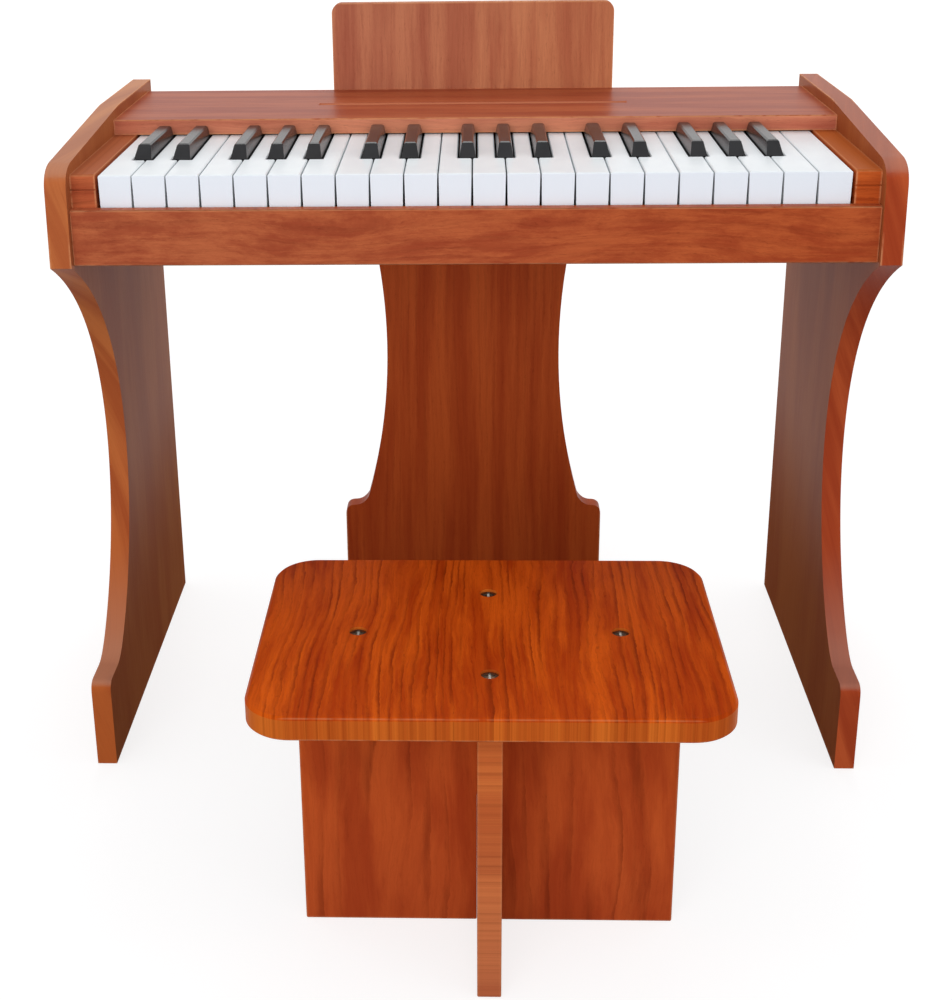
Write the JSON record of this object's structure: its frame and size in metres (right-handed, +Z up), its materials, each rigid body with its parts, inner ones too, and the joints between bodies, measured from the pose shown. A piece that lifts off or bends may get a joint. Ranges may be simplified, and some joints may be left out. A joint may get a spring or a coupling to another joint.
{
  "type": "toy piano with bench",
  "caption": "Child's wood-grain piano on curved side panels: key levers on a pivot rod strike steel chimes under the lid; upright music stand; separate bench on crossed slabs.",
  "frame": {"origin": "on the floor, in the middle of the plan of cabinet and bench together", "axes": "+Z up, +Y to the rear of the cabinet (the player sits at -Y), +X to the high notes"},
  "size_m": [0.585, 0.607, 0.544],
  "materials": {
    "cherry_board": "cherry wood-grain foil, satin gloss",
    "plain_wood": "planed softwood",
    "white_key_plastic": "gloss white moulding",
    "black_key_plastic": "gloss black moulding",
    "rail_plastic": "matt moulding",
    "steel_rod": "drawn",
    "cast_bar": "as cast, painted",
    "felt": "pressed felt"
  },
  "bodies": {
    "cabinet": {"back_board": "cherry_board", "back_rest_felt": "felt", "balance_rail": "rail_plastic", "bottom_board": "cherry_board", "cheek_block_left": "cherry_board", "cheek_block_right": "cherry_board", "chime_bar": "cast_bar", "chime_rods": "steel_rod", "front_fascia": "cherry_board", "front_rail": "plain_wood", "front_stop_felt": "felt", "key_pivot_rod": "steel_rod", "music_stand": "cherry_board", "rear_leg_panel": "cherry_board", "side_panel_left": "cherry_board", "side_panel_right": "cherry_board", "top_board": "cherry_board"},
    "bench": {"bench_cross_leg": "cherry_board", "bench_seat": "cherry_board", "bench_wide_leg": "cherry_board"},
    "key_01_c": {"key_01_c": "white_key_plastic"},
    "key_02_c_sharp": {"key_02_c_sharp": "black_key_plastic"},
    "key_03_d": {"key_03_d": "white_key_plastic"},
    "key_04_d_sharp": {"key_04_d_sharp": "black_key_plastic"},
    "key_05_e": {"key_05_e": "white_key_plastic"},
    "key_06_f": {"key_06_f": "white_key_plastic"},
    "key_07_f_sharp": {"key_07_f_sharp": "black_key_plastic"},
    "key_08_g": {"key_08_g": "white_key_plastic"},
    "key_09_g_sharp": {"key_09_g_sharp": "black_key_plastic"},
    "key_10_a": {"key_10_a": "white_key_plastic"},
    "key_11_a_sharp": {"key_11_a_sharp": "black_key_plastic"},
    "key_12_b": {"key_12_b": "white_key_plastic"},
    "key_13_c": {"key_13_c": "white_key_plastic"},
    "key_14_c_sharp": {"key_14_c_sharp": "black_key_plastic"},
    "key_15_d": {"key_15_d": "white_key_plastic"},
    "key_16_d_sharp": {"key_16_d_sharp": "black_key_plastic"},
    "key_17_e": {"key_17_e": "white_key_plastic"},
    "key_18_f": {"key_18_f": "white_key_plastic"},
    "key_19_f_sharp": {"key_19_f_sharp": "black_key_plastic"},
    "key_20_g": {"key_20_g": "white_key_plastic"},
    "key_21_g_sharp": {"key_21_g_sharp": "black_key_plastic"},
    "key_22_a": {"key_22_a": "white_key_plastic"},
    "key_23_a_sharp": {"key_23_a_sharp": "black_key_plastic"},
    "key_24_b": {"key_24_b": "white_key_plastic"},
    "key_25_c": {"key_25_c": "white_key_plastic"},
    "key_26_c_sharp": {"key_26_c_sharp": "black_key_plastic"},
    "key_27_d": {"key_27_d": "white_key_plastic"},
    "key_28_d_sharp": {"key_28_d_sharp": "black_key_plastic"},
    "key_29_e": {"key_29_e": "white_key_plastic"},
    "key_30_f": {"key_30_f": "white_key_plastic"},
    "key_31_f_sharp": {"key_31_f_sharp": "black_key_plastic"},
    "key_32_g": {"key_32_g": "white_key_plastic"},
    "key_33_g_sharp": {"key_33_g_sharp": "black_key_plastic"},
    "key_34_a": {"key_34_a": "white_key_plastic"},
    "key_35_a_sharp": {"key_35_a_sharp": "black_key_plastic"},
    "key_36_b": {"key_36_b": "white_key_plastic"},
    "key_37_c": {"key_37_c": "white_key_plastic"}
  },
  "joints": [
    {"name": "key_01_c_pivot", "type": "hinge", "parent": "cabinet", "child": "key_01_c", "pos_m": [0, 0.1685, 0.426], "axis": [1, 0, 0], "range_deg": [0, 2.67], "stiffness_Nm_per_rad": 1, "springref_deg": -2.67},
    {"name": "key_02_c_sharp_pivot", "type": "hinge", "parent": "cabinet", "child": "key_02_c_sharp", "pos_m": [0, 0.1685, 0.426], "axis": [1, 0, 0], "range_deg": [0, 2.67], "stiffness_Nm_per_rad": 1, "springref_deg": -2.67},
    {"name": "key_03_d_pivot", "type": "hinge", "parent": "cabinet", "child": "key_03_d", "pos_m": [0, 0.1685, 0.426], "axis": [1, 0, 0], "range_deg": [0, 2.67], "stiffness_Nm_per_rad": 1, "springref_deg": -2.67},
    {"name": "key_04_d_sharp_pivot", "type": "hinge", "parent": "cabinet", "child": "key_04_d_sharp", "pos_m": [0, 0.1685, 0.426], "axis": [1, 0, 0], "range_deg": [0, 2.67], "stiffness_Nm_per_rad": 1, "springref_deg": -2.67},
    {"name": "key_05_e_pivot", "type": "hinge", "parent": "cabinet", "child": "key_05_e", "pos_m": [0, 0.1685, 0.426], "axis": [1, 0, 0], "range_deg": [0, 2.67], "stiffness_Nm_per_rad": 1, "springref_deg": -2.67},
    {"name": "key_06_f_pivot", "type": "hinge", "parent": "cabinet", "child": "key_06_f", "pos_m": [0, 0.1685, 0.426], "axis": [1, 0, 0], "range_deg": [0, 2.67], "stiffness_Nm_per_rad": 1, "springref_deg": -2.67},
    {"name": "key_07_f_sharp_pivot", "type": "hinge", "parent": "cabinet", "child": "key_07_f_sharp", "pos_m": [0, 0.1685, 0.426], "axis": [1, 0, 0], "range_deg": [0, 2.67], "stiffness_Nm_per_rad": 1, "springref_deg": -2.67},
    {"name": "key_08_g_pivot", "type": "hinge", "parent": "cabinet", "child": "key_08_g", "pos_m": [0, 0.1685, 0.426], "axis": [1, 0, 0], "range_deg": [0, 2.67], "stiffness_Nm_per_rad": 1, "springref_deg": -2.67},
    {"name": "key_09_g_sharp_pivot", "type": "hinge", "parent": "cabinet", "child": "key_09_g_sharp", "pos_m": [0, 0.1685, 0.426], "axis": [1, 0, 0], "range_deg": [0, 2.67], "stiffness_Nm_per_rad": 1, "springref_deg": -2.67},
    {"name": "key_10_a_pivot", "type": "hinge", "parent": "cabinet", "child": "key_10_a", "pos_m": [0, 0.1685, 0.426], "axis": [1, 0, 0], "range_deg": [0, 2.67], "stiffness_Nm_per_rad": 1, "springref_deg": -2.67},
    {"name": "key_11_a_sharp_pivot", "type": "hinge", "parent": "cabinet", "child": "key_11_a_sharp", "pos_m": [0, 0.1685, 0.426], "axis": [1, 0, 0], "range_deg": [0, 2.67], "stiffness_Nm_per_rad": 1, "springref_deg": -2.67},
    {"name": "key_12_b_pivot", "type": "hinge", "parent": "cabinet", "child": "key_12_b", "pos_m": [0, 0.1685, 0.426], "axis": [1, 0, 0], "range_deg": [0, 2.67], "stiffness_Nm_per_rad": 1, "springref_deg": -2.67},
    {"name": "key_13_c_pivot", "type": "hinge", "parent": "cabinet", "child": "key_13_c", "pos_m": [0, 0.1685, 0.426], "axis": [1, 0, 0], "range_deg": [0, 2.67], "stiffness_Nm_per_rad": 1, "springref_deg": -2.67},
    {"name": "key_14_c_sharp_pivot", "type": "hinge", "parent": "cabinet", "child": "key_14_c_sharp", "pos_m": [0, 0.1685, 0.426], "axis": [1, 0, 0], "range_deg": [0, 2.67], "stiffness_Nm_per_rad": 1, "springref_deg": -2.67},
    {"name": "key_15_d_pivot", "type": "hinge", "parent": "cabinet", "child": "key_15_d", "pos_m": [0, 0.1685, 0.426], "axis": [1, 0, 0], "range_deg": [0, 2.67], "stiffness_Nm_per_rad": 1, "springref_deg": -2.67},
    {"name": "key_16_d_sharp_pivot", "type": "hinge", "parent": "cabinet", "child": "key_16_d_sharp", "pos_m": [0, 0.1685, 0.426], "axis": [1, 0, 0], "range_deg": [0, 2.67], "stiffness_Nm_per_rad": 1, "springref_deg": -2.67},
    {"name": "key_17_e_pivot", "type": "hinge", "parent": "cabinet", "child": "key_17_e", "pos_m": [0, 0.1685, 0.426], "axis": [1, 0, 0], "range_deg": [0, 2.67], "stiffness_Nm_per_rad": 1, "springref_deg": -2.67},
    {"name": "key_18_f_pivot", "type": "hinge", "parent": "cabinet", "child": "key_18_f", "pos_m": [0, 0.1685, 0.426], "axis": [1, 0, 0], "range_deg": [0, 2.67], "stiffness_Nm_per_rad": 1, "springref_deg": -2.67},
    {"name": "key_19_f_sharp_pivot", "type": "hinge", "parent": "cabinet", "child": "key_19_f_sharp", "pos_m": [0, 0.1685, 0.426], "axis": [1, 0, 0], "range_deg": [0, 2.67], "stiffness_Nm_per_rad": 1, "springref_deg": -2.67},
    {"name": "key_20_g_pivot", "type": "hinge", "parent": "cabinet", "child": "key_20_g", "pos_m": [0, 0.1685, 0.426], "axis": [1, 0, 0], "range_deg": [0, 2.67], "stiffness_Nm_per_rad": 1, "springref_deg": -2.67},
    {"name": "key_21_g_sharp_pivot", "type": "hinge", "parent": "cabinet", "child": "key_21_g_sharp", "pos_m": [0, 0.1685, 0.426], "axis": [1, 0, 0], "range_deg": [0, 2.67], "stiffness_Nm_per_rad": 1, "springref_deg": -2.67},
    {"name": "key_22_a_pivot", "type": "hinge", "parent": "cabinet", "child": "key_22_a", "pos_m": [0, 0.1685, 0.426], "axis": [1, 0, 0], "range_deg": [0, 2.67], "stiffness_Nm_per_rad": 1, "springref_deg": -2.67},
    {"name": "key_23_a_sharp_pivot", "type": "hinge", "parent": "cabinet", "child": "key_23_a_sharp", "pos_m": [0, 0.1685, 0.426], "axis": [1, 0, 0], "range_deg": [0, 2.67], "stiffness_Nm_per_rad": 1, "springref_deg": -2.67},
    {"name": "key_24_b_pivot", "type": "hinge", "parent": "cabinet", "child": "key_24_b", "pos_m": [0, 0.1685, 0.426], "axis": [1, 0, 0], "range_deg": [0, 2.67], "stiffness_Nm_per_rad": 1, "springref_deg": -2.67},
    {"name": "key_25_c_pivot", "type": "hinge", "parent": "cabinet", "child": "key_25_c", "pos_m": [0, 0.1685, 0.426], "axis": [1, 0, 0], "range_deg": [0, 2.67], "stiffness_Nm_per_rad": 1, "springref_deg": -2.67},
    {"name": "key_26_c_sharp_pivot", "type": "hinge", "parent": "cabinet", "child": "key_26_c_sharp", "pos_m": [0, 0.1685, 0.426], "axis": [1, 0, 0], "range_deg": [0, 2.67], "stiffness_Nm_per_rad": 1, "springref_deg": -2.67},
    {"name": "key_27_d_pivot", "type": "hinge", "parent": "cabinet", "child": "key_27_d", "pos_m": [0, 0.1685, 0.426], "axis": [1, 0, 0], "range_deg": [0, 2.67], "stiffness_Nm_per_rad": 1, "springref_deg": -2.67},
    {"name": "key_28_d_sharp_pivot", "type": "hinge", "parent": "cabinet", "child": "key_28_d_sharp", "pos_m": [0, 0.1685, 0.426], "axis": [1, 0, 0], "range_deg": [0, 2.67], "stiffness_Nm_per_rad": 1, "springref_deg": -2.67},
    {"name": "key_29_e_pivot", "type": "hinge", "parent": "cabinet", "child": "key_29_e", "pos_m": [0, 0.1685, 0.426], "axis": [1, 0, 0], "range_deg": [0, 2.67], "stiffness_Nm_per_rad": 1, "springref_deg": -2.67},
    {"name": "key_30_f_pivot", "type": "hinge", "parent": "cabinet", "child": "key_30_f", "pos_m": [0, 0.1685, 0.426], "axis": [1, 0, 0], "range_deg": [0, 2.67], "stiffness_Nm_per_rad": 1, "springref_deg": -2.67},
    {"name": "key_31_f_sharp_pivot", "type": "hinge", "parent": "cabinet", "child": "key_31_f_sharp", "pos_m": [0, 0.1685, 0.426], "axis": [1, 0, 0], "range_deg": [0, 2.67], "stiffness_Nm_per_rad": 1, "springref_deg": -2.67},
    {"name": "key_32_g_pivot", "type": "hinge", "parent": "cabinet", "child": "key_32_g", "pos_m": [0, 0.1685, 0.426], "axis": [1, 0, 0], "range_deg": [0, 2.67], "stiffness_Nm_per_rad": 1, "springref_deg": -2.67},
    {"name": "key_33_g_sharp_pivot", "type": "hinge", "parent": "cabinet", "child": "key_33_g_sharp", "pos_m": [0, 0.1685, 0.426], "axis": [1, 0, 0], "range_deg": [0, 2.67], "stiffness_Nm_per_rad": 1, "springref_deg": -2.67},
    {"name": "key_34_a_pivot", "type": "hinge", "parent": "cabinet", "child": "key_34_a", "pos_m": [0, 0.1685, 0.426], "axis": [1, 0, 0], "range_deg": [0, 2.67], "stiffness_Nm_per_rad": 1, "springref_deg": -2.67},
    {"name": "key_35_a_sharp_pivot", "type": "hinge", "parent": "cabinet", "child": "key_35_a_sharp", "pos_m": [0, 0.1685, 0.426], "axis": [1, 0, 0], "range_deg": [0, 2.67], "stiffness_Nm_per_rad": 1, "springref_deg": -2.67},
    {"name": "key_36_b_pivot", "type": "hinge", "parent": "cabinet", "child": "key_36_b", "pos_m": [0, 0.1685, 0.426], "axis": [1, 0, 0], "range_deg": [0, 2.67], "stiffness_Nm_per_rad": 1, "springref_deg": -2.67},
    {"name": "key_37_c_pivot", "type": "hinge", "parent": "cabinet", "child": "key_37_c", "pos_m": [0, 0.1685, 0.426], "axis": [1, 0, 0], "range_deg": [0, 2.67], "stiffness_Nm_per_rad": 1, "springref_deg": -2.67},
    {"name": "bench_slide", "type": "slide", "parent": "cabinet", "child": "bench", "axis": [0, 1, 0], "range_m": [-0.1, 0.25]}
  ]
}
